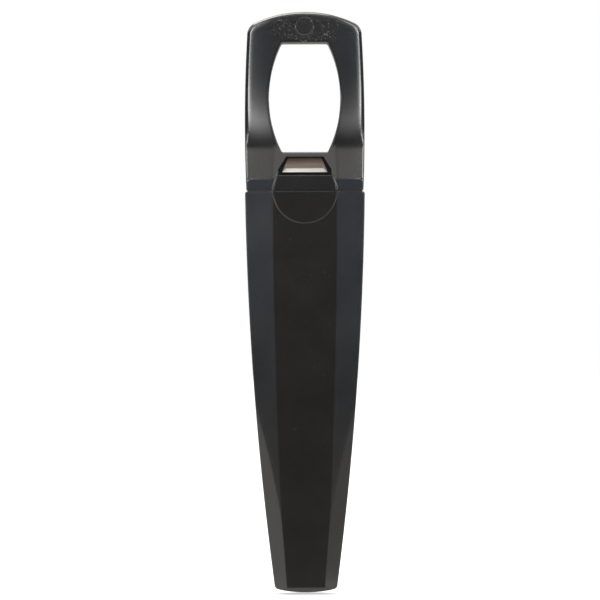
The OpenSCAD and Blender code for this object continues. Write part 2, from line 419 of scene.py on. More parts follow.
def square_up(bm):
    """Joins pairs of triangles into quads where they make a good square."""
    triangles = [f for f in bm.faces if len(f.verts) == 3]
    bmesh.ops.join_triangles(
        bm, faces=triangles, angle_face_threshold=radians(2), angle_shape_threshold=radians(35)
    )


# ---------- Sheath ----------

def sheath_outline():
    """The long sides, the rounded corners of the tip and the arc across it."""
    side_c = (SHEATH_HALF_W - SHEATH_SIDE_R, SHEATH_WIDE_Z)
    tip_c = (0, TIP_R)
    corner_c = crossing(side_c, SHEATH_SIDE_R - TIP_CORNER_R, tip_c, TIP_R - TIP_CORNER_R, -1)
    mouth = np.arcsin((JOINT_Z - SHEATH_WIDE_Z) / SHEATH_SIDE_R)
    half = arc(tip_c, TIP_R, -pi / 2, heading(tip_c, corner_c), 24)
    half += arc(corner_c, TIP_CORNER_R, heading(tip_c, corner_c), heading(side_c, corner_c), 8)[1:]
    half += arc(side_c, SHEATH_SIDE_R, heading(side_c, corner_c), mouth, 150)[1:]
    half[-1:] = chamfered_corner(half[-1], -1)
    return densify(both_sides(half), OUTLINE_STEP)


# How far the outline comes in over the height of the chamfer at the joint
CHAMFER_LEAN = 0.02


def chamfered_corner(p, way):
    """Two points in place of the corner at the joint: way is -1 on the sheath and 1 on the handle."""
    points = [(p[0] - CHAMFER_LEAN, p[1] + way * MOUTH_CHAMFER), (p[0] - MOUTH_CHAMFER, p[1])]
    return points if way < 0 else points[::-1]


def side_facet_half_w(z):
    """Half of the front panel's width where the side facets meet it."""
    panel = bow(PANEL_BOW_R, np.maximum(0, PANEL_FLAT_Z - z))
    side = bow(FACET_BOW_R, np.maximum(0, FACET_FLAT_Z - z)) / cos(FACET_TURN)
    return PANEL_HALF_W - (side - panel) / tan(FACET_TURN)


def panel_depth(z):
    return HALF_DEPTH - bow(PANEL_BOW_R, np.maximum(0, PANEL_FLAT_Z - z))


def side_facet_depth(x, z):
    fall = bow(FACET_BOW_R, np.maximum(0, FACET_FLAT_Z - z)) / cos(FACET_TURN)
    return HALF_DEPTH - (np.abs(x) - PANEL_HALF_W) * tan(FACET_TURN) - fall


CORNER_RISE = tan(CORNER_LEAN) / cos(CORNER_TURN)


def corner_facet_depth(x, z):
    knee = panel_depth(KNEE_Z)
    return knee + CORNER_RISE * (z - KNEE_Z) - tan(CORNER_TURN) * (np.abs(x) - KNEE_HALF_W)


def bevel_depth(z):
    return panel_depth(END_BEVEL) - END_BEVEL + z


# Width of the boss's wall, and the lines that carry it: one outside, seven over its width and one inside
STEP_WIDTH = 0.38
STEP_RINGS = (-0.12, *(STEP_WIDTH * k / 6 for k in range(7)), STEP_WIDTH + 0.14)


def rounded_step(inward):
    """From 0 to 1 over the first STEP_WIDTH millimetres."""
    return ease(inward / STEP_WIDTH)


def boss_lift(x, z):
    """Height of the round boss over the panel: a steep wall with a rounded top edge."""
    return BOSS_RISE * rounded_step(BOSS_R - np.hypot(x, z - JOINT_Z))


# Height over which two facets blend where they meet
CREASE = 0.05


def sheath_depth(x, z):
    """The sheath's face: panel, side facets, corner facets and end bevel, with the boss on top."""
    d = smooth_min(panel_depth(z), side_facet_depth(x, z), CREASE)
    d = smooth_min(d, corner_facet_depth(x, z), CREASE)
    d = smooth_min(d, bevel_depth(z), CREASE)
    return d + boss_lift(x, z)


# Longest stretch of a line along a crease, and how far to each side its neighbours lie
CREASE_STEP = 0.8
CREASE_SPREAD = (0, 0.07, 0.16)


def crease(line):
    """A line along a crease, with lines close on both sides of it."""
    flat = densify(line, CREASE_STEP, closed=False)
    out = []
    for s in CREASE_SPREAD:
        out.append(offset(flat, np.full(len(flat), s), closed=False))
        if s:
            out.append(offset(flat, np.full(len(flat), -s), closed=False))
    return out


def solve_x(first, second, z, low, high):
    """The x between low and high at which two depths are equal, by bisection."""
    def gap(x):
        return float(first(x, z) - second(x, z))
    for _ in range(40):
        middle = (low + high) / 2
        if (gap(middle) > 0) == (gap(low) > 0):
            low = middle
        else:
            high = middle
    return (low + high) / 2


# How far the crease lines stop short: of the knee, where three facets meet, of the ends and of the sides
KNEE_CLEAR = 0.4
END_CLEAR = 0.3
SIDE_CLEAR = 0.75
BEVEL_CLEAR = 0.1
# How far the boss's lines stop short of the joint, in radians
BOSS_CLEAR = 0.02
# A height above the last point at which the side and corner facets meet inside the outline
CORNER_TOP_Z = 60


def sheath_creases():
    """Lines where the sheath's facets meet, kept a little inside the outline."""
    panel_edge = []
    for z in np.linspace(KNEE_Z + KNEE_CLEAR, JOINT_Z - END_CLEAR, 60):
        panel_edge.append((side_facet_half_w(z), z))
    upper = []
    for z in np.linspace(KNEE_Z + KNEE_CLEAR, CORNER_TOP_Z, 60):
        x = solve_x(side_facet_depth, corner_facet_depth, z, 3, 20)
        side = SHEATH_HALF_W - bow(SHEATH_SIDE_R, SHEATH_WIDE_Z - z)
        if x > side - SIDE_CLEAR:
            break
        upper.append((x, z))
    lower = []
    for z in np.linspace(END_BEVEL + END_CLEAR, KNEE_Z - KNEE_CLEAR, 20):
        x = solve_x(lambda x, h: panel_depth(h), corner_facet_depth, z, 3, 9)
        lower.append((x, z))
    lines = []
    for line in (panel_edge, upper, lower):
        lines += crease(line)
        lines += crease([(-x, z) for x, z in line])
    bevel_end = lower[0][0] - BEVEL_CLEAR
    lines += crease([(-bevel_end, END_BEVEL), (bevel_end, END_BEVEL)])
    return lines


def boss_rings(low_angle, high_angle):
    """Arcs along the boss's wall, from just outside it to its flat top."""
    return [arc((0, JOINT_Z), BOSS_R - s, low_angle, high_angle, 90) for s in STEP_RINGS]


def rounded_rectangle(half_w, half_d, r, n=6):
    """A closed loop with n + 1 points round each corner."""
    loop = []
    for cx, cy, start in ((1, 1, 0), (-1, 1, 90), (-1, -1, 180), (1, -1, 270)):
        centre = (cx * (half_w - r), cy * (half_d - r))
        loop += arc(centre, r, radians(start), radians(start + 90), n)
    return loop


def add_ring(bm, half_w, half_d, r, z):
    """The vertices of a level rounded rectangle."""
    return [bm.verts.new((x, y, z)) for x, y in rounded_rectangle(half_w, half_d, r)]


def bridge(bm, upper, lower):
    """Quads between two rings with the same number of vertices."""
    n = len(upper)
    for i in range(n):
        bm.faces.new((upper[i], upper[(i + 1) % n], lower[(i + 1) % n], lower[i]))


# An edge with an end this far below the joint gets a wall. The others are the mouth's.
MOUTH_MARGIN = 1e-4


def build_sheath():
    """The sheath: mirrored faces, a wall round them, and the mouth and cavity inside."""
    def radius(x, z):
        return SHEATH_RIM_R if z > JOINT_Z - MOUTH_CHAMFER else SHEATH_EDGE_R

    edges = [Edge(sheath_outline(), radius)]
    lines = sheath_creases() + boss_rings(-pi + BOSS_CLEAR, -BOSS_CLEAR)
    v, t = triangulate(edges, lines, SHEATH_GRID)
    depth = sheath_depth(v[:, 0], v[:, 1]) - edge_drop(v, edges)
    bm = bmesh.new()
    front = {i: bm.verts.new((v[i][0], -depth[i], v[i][1])) for i in np.unique(t)}
    back = {i: bm.verts.new((v[i][0], depth[i], v[i][1])) for i in np.unique(t)}
    for a, b, c in t:
        bm.faces.new((front[a], front[b], front[c]))
        bm.faces.new((back[c], back[b], back[a]))
    walls = [(p, q) for p, q in open_edges(t) if min(v[p][1], v[q][1]) < JOINT_Z - MOUTH_MARGIN]
    ids = {i for pair in walls for i in pair}
    rows = wall_rows(bm, ids, v, -depth, depth, SHEATH_WALL_LAYERS)
    add_walls(bm, walls, [front] + rows + [back])
    square_up(bm)
    add_mouth(bm)
    return finish_mesh("sheath_shell", bm)


MOUTH_LEAD_IN = 0.3
MOUTH_CORNER_R = 1.4
CAVITY_TOP_HALF_W = 10.4
CAVITY_FLOOR_Z = 24
CAVITY_FLOOR_HALF_W = 6.2
CAVITY_FLOOR_HALF_DEPTH = 4.8
CAVITY_CORNER_R = 1.6
CAVITY_RINGS = 13


def add_mouth(bm):
    """The rim round the mouth, the pocket for the plug and the cavity for the worm."""
    rim = [e for e in bm.edges if len(e.link_faces) == 1]
    w = PLUG_HALF_W + PLUG_GAP
    d = PLUG_HALF_DEPTH + PLUG_GAP
    mouth = add_ring(bm, w + MOUTH_LEAD_IN, d + MOUTH_LEAD_IN, MOUTH_CORNER_R, JOINT_Z)
    inner = [bm.edges.new((mouth[i - 1], mouth[i])) for i in range(len(mouth))]
    bmesh.ops.triangle_fill(bm, edges=rim + inner, use_beauty=True)
    rings = [mouth]
    for z in (JOINT_Z - MOUTH_LEAD_IN, PLUG_Z):
        rings.append(add_ring(bm, w, d, PLUG_CORNER_R, z))
    for t in np.linspace(0, 1, CAVITY_RINGS):
        z = PLUG_Z + (CAVITY_FLOOR_Z - PLUG_Z) * t
        half_w = CAVITY_TOP_HALF_W + (CAVITY_FLOOR_HALF_W - CAVITY_TOP_HALF_W) * t
        half_d = PLUG_HALF_DEPTH + (CAVITY_FLOOR_HALF_DEPTH - PLUG_HALF_DEPTH) * t
        rings.append(add_ring(bm, half_w, half_d, CAVITY_CORNER_R, z))
    for upper, lower in zip(rings, rings[1:]):
        bridge(bm, upper, lower)
    bm.faces.new(rings[-1])


# ---------- Handle ----------

def head_outline():
    """The bowed sides, the rounded corners and the arc of the crown."""
    side_c = (HEAD_HALF_W - HEAD_SIDE_R, HEAD_WIDE_Z)
    crown_c = (0, CROWN_Z - CROWN_R)
    corner_c = crossing(side_c, HEAD_SIDE_R - CROWN_CORNER_R, crown_c, CROWN_R - CROWN_CORNER_R, 1)
    low = np.arcsin((HEAD_Z - HEAD_WIDE_Z) / HEAD_SIDE_R)
    half = arc(side_c, HEAD_SIDE_R, low, heading(side_c, corner_c), 70)
    half[:1] = chamfered_corner(half[0], 1)
    half += arc(corner_c, CROWN_CORNER_R, heading(side_c, corner_c), heading(crown_c, corner_c), 14)[1:]
    half += arc(crown_c, CROWN_R, heading(crown_c, corner_c), pi / 2, 24)[1:]
    return densify(both_sides(half), OUTLINE_STEP)


def hole_outline():
    """The barrel-shaped hole: two bowed sides and two flat ends."""
    across = HOLE_SIDE_R - HOLE_HALF_W
    middle_z = HOLE_Z + HOLE_H / 2
    reach = np.arcsin(HOLE_H / 2 / HOLE_SIDE_R)
    right = arc((-across, middle_z), HOLE_SIDE_R, -reach, reach, 40)
    return densify(round_corners(both_sides(right), HOLE_CORNER_R), HOLE_STEP)


def window_outline():
    """The window: sides that stand upright, then lean in to the top."""
    step_z = WINDOW_Z + WINDOW_H * WINDOW_UPRIGHT
    half = [(WINDOW_HALF_W, WINDOW_Z), (WINDOW_HALF_W, step_z), (WINDOW_TOP_HALF_W, WINDOW_Z + WINDOW_H)]
    return densify(round_corners(both_sides(half), WINDOW_CORNER_R), WINDOW_STEP)


# The front panel falls back down the slope, then over the hollow curve. The two blend over a small height.
SLOPE_FALL = (HOLLOW_START - SHOULDER_START) * tan(SHOULDER_SLOPE)
HOLLOW_H = RING_START - HOLLOW_START
HOLLOW_FALL = HOLLOW_H * tan(HOLLOW_SLOPE) / 3
HOLLOW_SOFT = 0.08
# The side facets of the ring are slightly convex.
LIMB_W = HEAD_HALF_W - PANEL_HALF_W
LIMB_BOW = 0.12


def face_fall(z):
    """How far the front panel has fallen back at a height: slope, hollow curve, flat ring."""
    h = z - JOINT_Z
    left = np.clip((RING_START - h) / HOLLOW_H, 0, 1.2)
    hollow = SLOPE_FALL + HOLLOW_FALL * (1 - left ** 3)
    slope = np.maximum(0, h - SHOULDER_START) * tan(SHOULDER_SLOPE)
    return smooth_min(slope, hollow, HOLLOW_SOFT)


# The witness mark: its groove, the disc inside as a share of the groove's depth, and the reach of its lines
MARK_R = 2.1
MARK_Z = CROWN_Z - 3.4
MARK_DEPTH = 0.1
MARK_LINE = 0.11
MARK_DISC = 0.35
MARK_SPREAD = 0.28


def head_surface(x, z):
    """The handle's front panel and side facets, as a depth."""
    fall = face_fall(z)
    out = np.abs(x) - PANEL_HALF_W
    bulge = LIMB_BOW * out * (LIMB_W - out) / LIMB_W * ease((z - JOINT_Z) / RING_START)
    side = HALF_DEPTH - out * tan(FACET_TURN) + bulge - fall / cos(FACET_TURN)
    return smooth_min(HALF_DEPTH - fall, side, CREASE)


def mark_sink(x, z):
    """The moulding's round witness mark: a groove round a disc that is a little low."""
    r = np.hypot(x, z - MARK_Z)
    groove = np.exp(-((r - MARK_R) / MARK_LINE) ** 2)
    return MARK_DEPTH * np.maximum(groove, MARK_DISC * (r < MARK_R))


def head_depth(x, z, boss_top):
    """The handle's face, with the boss standing flat on the shoulder up to a height."""
    base = head_surface(x, z)
    inward = np.minimum(BOSS_R - np.hypot(x, z - JOINT_Z), boss_top - z)
    return base + (BOSS_DEPTH - base) * rounded_step(inward)


# Where the lines along the boss start above the joint, and how far the fold's lines stop short of the side
BOSS_START = 0.25
FOLD_CLEAR = 0.8


def build_head():
    """The handle without its plug. The window is a pocket in the front, with a floor for the steel strip."""
    def radius(x, z):
        if z < HEAD_Z + MOUTH_CHAMFER:
            return HEAD_FOOT_R
        grown = float(ease((z - JOINT_Z - HOLLOW_START) / RING_EDGE_RISE))
        return SHOULDER_EDGE_R + (RING_EDGE_R - SHOULDER_EDGE_R) * grown

    def half_w(z):
        return HEAD_HALF_W - bow(HEAD_SIDE_R, z - HEAD_WIDE_Z)

    outer = Edge(head_outline(), radius)
    hole = Edge(hole_outline(), HOLE_EDGE_R, hole=True)
    window = Edge(window_outline(), WINDOW_EDGE_R, hole=True)
    low = np.arcsin(BOSS_START / BOSS_R)
    high = np.arcsin((WINDOW_Z - JOINT_Z) / BOSS_R)
    chord = sqrt(BOSS_R ** 2 - (WINDOW_Z - JOINT_Z) ** 2)
    lines = boss_rings(low, high) + boss_rings(pi - high, pi - low)
    lines += [[(-chord, WINDOW_Z - s), (chord, WINDOW_Z - s)] for s in STEP_RINGS[2:]]
    fold = JOINT_Z + SHOULDER_START
    fold_in = BOSS_R + END_CLEAR
    fold_out = half_w(fold) - FOLD_CLEAR
    for start, end in ((fold_in, fold_out), (-fold_out, -fold_in)):
        lines += [[(start, fold + s), (end, fold + s)] for s in (-CREASE, 0, CREASE)]
    lines += [arc((0, MARK_Z), MARK_R + s, 0, 2 * pi, 64) for s in np.linspace(-MARK_SPREAD, MARK_SPREAD, 5)]
    lines += [ring + ring[:1] for ring in list(window.rings())[1:]]
    # The plan goes on across the window, because the back and the pocket's floor need it there.
    pocket_edge = Edge(window.loop, WINDOW_EDGE_R)
    v, t = triangulate([outer, hole, pocket_edge], lines, HEAD_GRID)
    middle = v[t].mean(axis=1)
    in_window = inside(middle, window.loop)
    drop = edge_drop(v, [outer, hole])
    front_drop = np.maximum(drop, edge_drop(v, [window]))
    x, z = v.T
    front_y = mark_sink(x, z) + front_drop - head_depth(x, z, WINDOW_Z + STEP_WIDTH)
    back_y = head_depth(x, z, WINDOW_Z) - drop
    bm = bmesh.new()
    front_ids = np.unique(t[~in_window])
    front = {i: bm.verts.new((v[i][0], front_y[i], v[i][1])) for i in front_ids}
    back = {i: bm.verts.new((v[i][0], back_y[i], v[i][1])) for i in np.unique(t)}
    floor = {i: bm.verts.new((v[i][0], -POCKET_DEPTH, v[i][1])) for i in np.unique(t[in_window])}
    for a, b, c in t[~in_window]:
        bm.faces.new((front[a], front[b], front[c]))
    for a, b, c in t:
        bm.faces.new((back[c], back[b], back[a]))
    for a, b, c in t[in_window]:
        bm.faces.new((floor[a], floor[b], floor[c]))
    walls = open_edges(t)
    ids = {i for pair in walls for i in pair}
    rows = wall_rows(bm, ids, v, front_y, back_y, HEAD_WALL_LAYERS)
    add_walls(bm, walls, [front] + rows + [back])
    pocket_walls = [(q, p) for p, q in open_edges(t[in_window])]
    add_walls(bm, pocket_walls, [front, floor])
    square_up(bm)
    return finish_mesh("ring_handle", bm)


def build_plug():
    """The plug under the handle: a block with rounded upright corners and a chamfered end."""
    bm = bmesh.new()
    # How far each ring is drawn in, its corner radius, and its height
    levels = (
        (0, PLUG_CORNER_R, HEAD_Z + PLUG_ROOT),
        (0, PLUG_CORNER_R, PLUG_Z + PLUG_CHAMFER),
        (PLUG_CHAMFER * 0.3, PLUG_CORNER_R, PLUG_Z + PLUG_CHAMFER * 0.3),
        (PLUG_CHAMFER, PLUG_CORNER_R - 0.2, PLUG_Z),
    )
    rings = [add_ring(bm, PLUG_HALF_W - s, PLUG_HALF_DEPTH - s, r, z) for s, r, z in levels]
    bm.faces.new(rings[0])
    for upper, lower in zip(rings, rings[1:]):
        bridge(bm, upper, lower)
    bm.faces.new(rings[-1])
    return finish_mesh("handle_plug", bm)


# ---------- Steel ----------

PLATE_LOW = WINDOW_Z + 0.8
PLATE_TOP = HOLE_Z - 0.1
# How far the strip's face is behind the front panel at the top of the window
PLATE_SINK = 1.3
PLATE_Y = PLATE_SINK - HALF_DEPTH + (WINDOW_Z + WINDOW_H - JOINT_Z - SHOULDER_START) * tan(SHOULDER_SLOPE)
PLATE_T = 1.5
PLATE_HALF_W = 5.56
PLATE_TOP_HALF_W = 3.55
PLATE_LEG = 6
LIP_H = 1
LIP_LEAN = radians(30)
PLATE_SEEN = WINDOW_Z + WINDOW_H - PLATE_LOW
PLATE_CORNER_R = 0.05
PLATE_BEVEL = 0.06
PLATE_COLUMNS = 13
# Edges of the strip that fold by more than this are bevelled.
PLATE_FOLD = radians(50)


def build_plate():
    """The steel strip: an upright face, a lip that flares forward below it, and a leg into the handle."""
    back = PLATE_Y + PLATE_T
    leg_end = PLATE_Y + PLATE_LEG
    leg_top = PLATE_LOW + PLATE_T
    profile = round_corners([
        (PLATE_Y, PLATE_TOP), (PLATE_Y, PLATE_LOW + LIP_H), (PLATE_Y - LIP_H * tan(LIP_LEAN), PLATE_LOW),
        (leg_end, PLATE_LOW), (leg_end, leg_top), (back, leg_top), (back, PLATE_TOP)
    ], PLATE_CORNER_R)

    def half_w(z):
        t = (z - PLATE_LOW) / (PLATE_TOP - PLATE_LOW)
        return PLATE_HALF_W + (PLATE_TOP_HALF_W - PLATE_HALF_W) * t

    bm = bmesh.new()
    across = np.linspace(-1, 1, PLATE_COLUMNS)
    columns = [[bm.verts.new((s * half_w(z), y, z)) for y, z in profile] for s in across]
    n = len(profile)
    for left, right in zip(columns, columns[1:]):
        for i in range(n):
            j = (i + 1) % n
            bm.faces.new((left[i], left[j], right[j], right[i]))
    bm.faces.new(columns[0][::-1])
    bm.faces.new(columns[-1])
    bmesh.ops.recalc_face_normals(bm, faces=bm.faces)
    corners = [e for e in bm.edges if len(e.link_faces) == 2 and e.calc_face_angle() > PLATE_FOLD]
    bmesh.ops.bevel(bm, geom=corners, offset=PLATE_BEVEL, segments=3, affect="EDGES", profile=0.5)
    return finish_mesh("lifter_strip", bm)


WIRE_R = 1.4
WIRE_SIDES = 24
LEAST_WIRE_R = 0.1
# Thickness of the helix's wire as a share of the shank's
WIRE_FIT = 0.995
HELIX_R = 3
PITCH = 9.6
WORM_LENGTH = 56
SHANK = 5
SHANK_ROOT = 2
# Length over which the wire swings out from the middle to the helix
RAMP = 6
POINT_LENGTH = 7
STATIONS_A_TURN = 48


def build_worm():
    """The wire: a straight shank, then a right-hand helix that tapers to a point."""
    helix_z = PLUG_Z - SHANK
    run = WORM_LENGTH - SHANK
    # Each station is a point on the wire's axis, a level direction and the wire's radius there
    stations = []
    for z in (PLUG_Z + SHANK_ROOT, PLUG_Z, PLUG_Z - SHANK / 2):
        stations.append((Vector((0, 0, z)), Vector((0, 1, 0)), WIRE_R))
    steps = int(run / PITCH * STATIONS_A_TURN)
    for i in range(steps + 1):
        s = run * i / steps
        a = pi / 2 - 2 * pi * s / PITCH
        level = Vector((cos(a), sin(a), 0))
        place = level * HELIX_R * float(ease(s / RAMP)) + Vector((0, 0, helix_z - s))
        r = WIRE_R * WIRE_FIT * sqrt(min(1, (run - s) / POINT_LENGTH))
        stations.append((place, level, max(LEAST_WIRE_R, r)))
    turns = [2 * pi * k / WIRE_SIDES for k in range(WIRE_SIDES)]
    bm = bmesh.new()
    rings = []
    for i, (p, level, r) in enumerate(stations):
        before = stations[max(i - 1, 0)][0]
        after = stations[min(i + 1, len(stations) - 1)][0]
        t = (after - before).normalized()
        across = t.cross(level).normalized()
        up = across.cross(t)
        rings.append([bm.verts.new(p + r * (cos(a) * up + sin(a) * across)) for a in turns])
    for upper, lower in zip(rings, rings[1:]):
        bridge(bm, upper, lower)
    bm.faces.new(rings[0][::-1])
    bm.faces.new(rings[-1])
    return finish_mesh("worm_wire", bm, sharp_angle=50)


# ---------- Materials ----------

# The scuffed part of the crown, in metres
SCUFF_Z = (CROWN_Z - 7) * MM
SCUFF_HALF_W = 9 * MM
SHEATH_COLOUR = (0.0054, 0.0048, 0.0045)
HANDLE_COLOUR = (0.0068, 0.0068, 0.007)
DUST = (0.2, 0.2, 0.19)
SCUFF = (0.13, 0.13, 0.13)
PLASTIC_IOR = 1.52


class Nodes:
    """Short calls for building the node tree of a material or the world."""

    def __init__(self, owner):
        self.owner = owner
        owner.use_nodes = True
        self.tree = owner.node_tree
        self.shader = self.tree.nodes.get("Principled BSDF")
        self.coordinates = self.add("ShaderNodeTexCoord").outputs
        self.place = self.coordinates["Object"]

    def add(self, kind, **links):
        node = self.tree.nodes.new(kind)
        for name, socket in links.items():
            self.link(socket, node.inputs[name])
        return node

    def link(self, a, b):
        self.tree.links.new(a, b)

    def stretched(self, scale):
        node = self.tree.nodes.new("ShaderNodeMapping")
        node.inputs["Scale"].default_value = scale
        self.link(self.place, node.inputs["Vector"])
        return node.outputs["Vector"]

    def noise(self, scale, detail=3, roughness=0.55, vector=None):
        node = self.tree.nodes.new("ShaderNodeTexNoise")
        node.inputs["Scale"].default_value = scale
        node.inputs["Detail"].default_value = detail
        node.inputs["Roughness"].default_value = roughness
        self.link(vector or self.place, node.inputs["Vector"])
        return node.outputs["Fac"]

    def ramp(self, fac, stops):
        node = self.tree.nodes.new("ShaderNodeValToRGB")
        elements = node.color_ramp.elements
        while len(elements) < len(stops):
            elements.new(0.5)
        for element, (position, colour) in zip(elements, stops):
            element.position = position
            if isinstance(colour, (int, float)):
                colour = (colour,) * 3
            element.color = (*colour, 1)
        self.link(fac, node.inputs["Fac"])
        return node.outputs["Color"]

    def math(self, operation, *values):
        node = self.tree.nodes.new("ShaderNodeMath")
        node.operation = operation
        for socket, value in zip(node.inputs, values):
            if isinstance(value, (int, float)):
                socket.default_value = value
            else:
                self.link(value, socket)
        return node.outputs[0]

    def split(self, vector):
        return self.add("ShaderNodeSeparateXYZ", Vector=vector).outputs

    def vector_math(self, operation, a, b):
        node = self.tree.nodes.new("ShaderNodeVectorMath")
        node.operation = operation
        for socket, value in zip(node.inputs, (a, b)):
            if isinstance(value, tuple):
                socket.default_value = value
            else:
                self.link(value, socket)
        return node.outputs[0]

    def scaled(self, value, by):
        return self.math("MULTIPLY", value, by)

    def times(self, a, b, by):
        return self.vector_math("MULTIPLY", self.vector_math("MULTIPLY", a, b), (by,) * 3)

    def mix(self, factor, a, b):
        node = self.tree.nodes.new("ShaderNodeMix")
        node.data_type = "RGBA"
        self.link(factor, node.inputs["Factor"])
        for socket, value in ((node.inputs[6], a), (node.inputs[7], b)):
            if isinstance(value, tuple):
                socket.default_value = (*value, 1)
            else:
                self.link(value, socket)
        return node.outputs[2]

    def bump(self, height, strength, distance, below=None):
        node = self.tree.nodes.new("ShaderNodeBump")
        node.inputs["Strength"].default_value = strength
        node.inputs["Distance"].default_value = distance
        self.link(height, node.inputs["Height"])
        if below:
            self.link(below, node.inputs["Normal"])
        return node.outputs["Normal"]


def black_plastic(name, colour, roughness, grain, scuffed_z=None):
    """Semi-gloss black moulding: fine grain, soft sink waves, faint dust specks and rubbed edges.

    Above scuffed_z, in metres, fine pale scuffs from handling gather in loose patches.
    """
    n = Nodes(bpy.data.materials.new(name))
    patch = n.noise(90, 4)
    fine = n.noise(4200, 2)
    specks = n.ramp(n.noise(2600, 1), [(0.0, 0.0), (0.74, 0.0), (0.8, 1.0)])
    tint = n.ramp(patch, [(0.3, tuple(c * 0.8 for c in colour)), (0.7, tuple(c * 1.25 for c in colour))])
    pointiness = n.tree.nodes.new("ShaderNodeNewGeometry").outputs["Pointiness"]
    rubbed = n.ramp(pointiness, [(0.0, 0.0), (0.53, 0.0), (0.62, 0.5)])
    worn = n.mix(rubbed, tint, tuple(c * 2.2 for c in colour))
    finish = n.mix(n.scaled(specks, 0.12), worn, DUST)
    if scuffed_z:
        x, _, z = n.split(n.place)
        up = n.ramp(n.math("DIVIDE", z, scuffed_z), [(0.985, 0.0), (1.0, 1.0)])
        middle = n.ramp(n.math("DIVIDE", n.math("ABSOLUTE", x), SCUFF_HALF_W), [(0.75, 1.0), (1.0, 0.1)])
        where = n.vector_math("MULTIPLY", up, middle)
        patches = n.ramp(n.noise(330, 2), [(0.0, 0.0), (0.42, 0.0), (0.6, 1.0)])
        scratches = n.noise(2100, 2, 0.6, n.stretched((1, 1, 1.4)))
        marks = n.ramp(scratches, [(0.0, 0.0), (0.56, 0.0), (0.66, 1.0)])
        share = n.vector_math("MULTIPLY", n.vector_math("MULTIPLY", patches, marks), where)
        finish = n.mix(n.scaled(share, 0.5), finish, SCUFF)
    n.link(finish, n.shader.inputs["Base Color"])
    blotches = n.math("ADD", n.scaled(patch, 0.6), n.scaled(fine, 0.4))
    rough = n.ramp(blotches, [(0.3, roughness * 0.85), (0.7, roughness * 1.2)])
    n.link(rough, n.shader.inputs["Roughness"])
    waves = n.bump(n.noise(40, 2), 0.04, 0.0004)
    n.link(n.bump(fine, grain, 0.00004, waves), n.shader.inputs["Normal"])
    n.shader.inputs["IOR"].default_value = PLASTIC_IOR
    return n.owner


STEEL_STREAKS = ((0.3, (0.36, 0.335, 0.315)), (0.55, (0.49, 0.465, 0.44)), (0.75, (0.66, 0.64, 0.62)))
# Painted shade by share of the strip's visible height, with a brown tint: the lip keeps nearly its full
# colour, and the top, in the shade under the bar, is darkest.
STEEL_SHADE_AND_BROWN = (
    (0.0, 0.9),
    (0.28, 0.86),
    (0.34, (0.86, 0.75, 0.71)),
    (0.62, (0.66, 0.52, 0.46)),
    (0.95, (0.2, 0.15, 0.12)),
)


def brushed_steel(name):
    """Stamped steel strip, brushed across, brownish, with painted shade that darkens it towards the bar above.
    """
    n = Nodes(bpy.data.materials.new(name))
    streaks = n.noise(900, 6, 0.7, n.stretched((0.06, 1, 1)))
    broad = n.noise(500, 3)
    steel = n.ramp(streaks, STEEL_STREAKS)
    rise = n.math("SUBTRACT", n.split(n.place)[2], PLATE_LOW * MM)
    # Painted shade: the strip's colour darkens and browns towards the bar above it.
    shade_and_brown = n.ramp(n.scaled(rise, 1 / (PLATE_SEEN * MM)), STEEL_SHADE_AND_BROWN)
    n.link(n.vector_math("MULTIPLY", steel, shade_and_brown), n.shader.inputs["Base Color"])
    n.shader.inputs["Metallic"].default_value = 1
    n.link(n.ramp(streaks, [(0.3, 0.38), (0.7, 0.28)]), n.shader.inputs["Roughness"])
    scratch = n.bump(streaks, 0.5, 0.00005)
    n.link(n.bump(broad, 0.15, 0.0001, scratch), n.shader.inputs["Normal"])
    return n.owner


def plated_wire(name):
    """Nickel-plated wire, bright, with drawing lines and faint haze."""
    n = Nodes(bpy.data.materials.new(name))
    haze = n.noise(700, 4)
    lines = n.noise(1500, 3, 0.6, n.stretched((1, 1, 0.25)))
    n.link(n.ramp(haze, [(0.3, (0.52, 0.51, 0.5)), (0.7, (0.66, 0.65, 0.63))]), n.shader.inputs["Base Color"])
    n.shader.inputs["Metallic"].default_value = 1
    n.link(n.ramp(haze, [(0.3, 0.14), (0.7, 0.26)]), n.shader.inputs["Roughness"])
    n.link(n.bump(lines, 0.2, 0.00003), n.shader.inputs["Normal"])
    return n.owner


# ---------- The object ----------

def dress(obj, node_names, body, material):
    """Gives a piece its material and its place in the assembly, and hides the CAD nodes it stands for."""
    obj.data.materials.append(material)
    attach(obj, body)
    if node_names:
        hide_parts(*node_names)


sheath_black = black_plastic("sheath_black", SHEATH_COLOUR, roughness=0.2, grain=0.06)
handle_black = black_plastic("handle_black", HANDLE_COLOUR, roughness=0.135, grain=0.15, scuffed_z=SCUFF_Z)
dress(build_sheath(), ["sheath"], "sheath", sheath_black)
dress(build_head(), ["handle_head"], "handle", handle_black)
dress(build_plug(), [], "handle", handle_black)
dress(build_plate(), ["cap_lifter_plate"], "handle", brushed_steel("lifter_steel"))
dress(build_worm(), ["worm"], "handle", plated_wire("worm_nickel"))


# ---------- Stage, light and camera ----------

# The camera: the point it looks at, the height of its view and its distance, in metres, and its roll
VIEW_MIDDLE = Vector((-0.00126, 0, 0.0705))
VIEW_HEIGHT = 0.1451
VIEW_DISTANCE = 1.1
ROLL = radians(0.17)
SENSOR = 36

# Light in the room, as the object's gloss shows it. Each profile lists degrees and a brightness, and some a
# tint. The degrees are upward, or to the right, of the way from the object to the camera.
PLAIN = (1, 1, 1)
WARM = (1.02, 1.0, 0.96)
COOL = (0.62, 1.0, 1.42)
PALE = (0.78, 1.0, 1.26)
# What the front panels see: a dim room with a low wall and a bright ceiling
FRONT_ROOM = (
    (-90, 0.9, WARM), (-32, 0.8, WARM), (-22, 0.4, WARM), (-14, 0.32, PLAIN), (-9, 0.14, PLAIN),
    (-4, 0.14, WARM), (1.5, 0.08, PLAIN), (2.8, 0.55, PLAIN), (6, 0.55, PLAIN), (12, 0.3, PLAIN),
    (22, 0.12, PLAIN), (29.5, 0.0, PLAIN), (31.5, 1.83, WARM), (50, 1.83, WARM), (90, 1.8, WARM),
)
